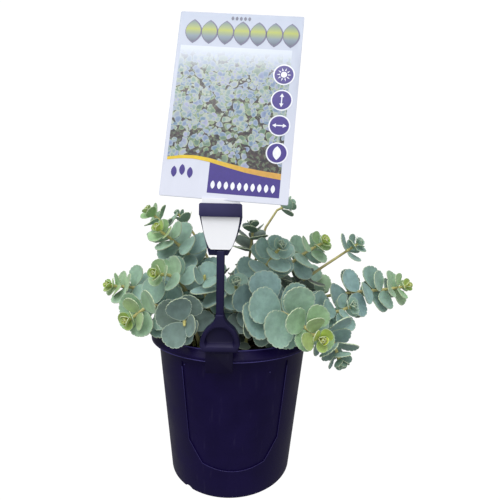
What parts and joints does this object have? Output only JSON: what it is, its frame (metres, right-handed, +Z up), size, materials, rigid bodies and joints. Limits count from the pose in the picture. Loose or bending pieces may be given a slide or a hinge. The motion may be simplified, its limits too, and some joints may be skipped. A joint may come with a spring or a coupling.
{
  "type": "potted dragon sedum",
  "caption": "Dragon sedum with trailing stems of round toothed leaves, in a dark nursery pot with a picture card in a clip-on holder.",
  "frame": {"origin": "centre of the pot's flat base, on the surface that it stands on", "axes": "+Z up along the pot's axis, -Y towards the label card and the viewer, +X to the viewer's right"},
  "size_m": [0.2693, 0.1919, 0.3597],
  "materials": {
    "pot": "satin moulded polypropylene",
    "soil": "loose damp bark compost",
    "label_holder": "satin moulded plastic",
    "label_card": "smooth printed plastic sheet",
    "plant": "waxy bloom over fleshy leaves"
  },
  "bodies": {
    "root": {"pot": "pot", "soil": "soil", "label_holder": "label_holder", "label_card": "label_card", "stem_upper_left": "plant", "stem_front_right": "plant", "stem_long_right": "plant", "stem_far_left": "plant", "stem_right_high": "plant", "stem_left_low": "plant", "stem_left_rosette": "plant", "stem_centre_rosette": "plant", "stem_right_mid": "plant", "stem_front_left": "plant", "stem_behind_stalk": "plant", "stem_middle": "plant", "stem_front_low": "plant", "stem_low_left": "plant", "stem_rim_right": "plant", "stem_hanging_right": "plant", "stem_right_low": "plant", "stem_top": "plant", "stem_top_back": "plant", "stem_high_left": "plant", "stem_small_left": "plant", "stem_back_right": "plant", "stem_back": "plant", "stem_back_left": "plant", "stem_left_back": "plant"}
  },
  "joints": []
}
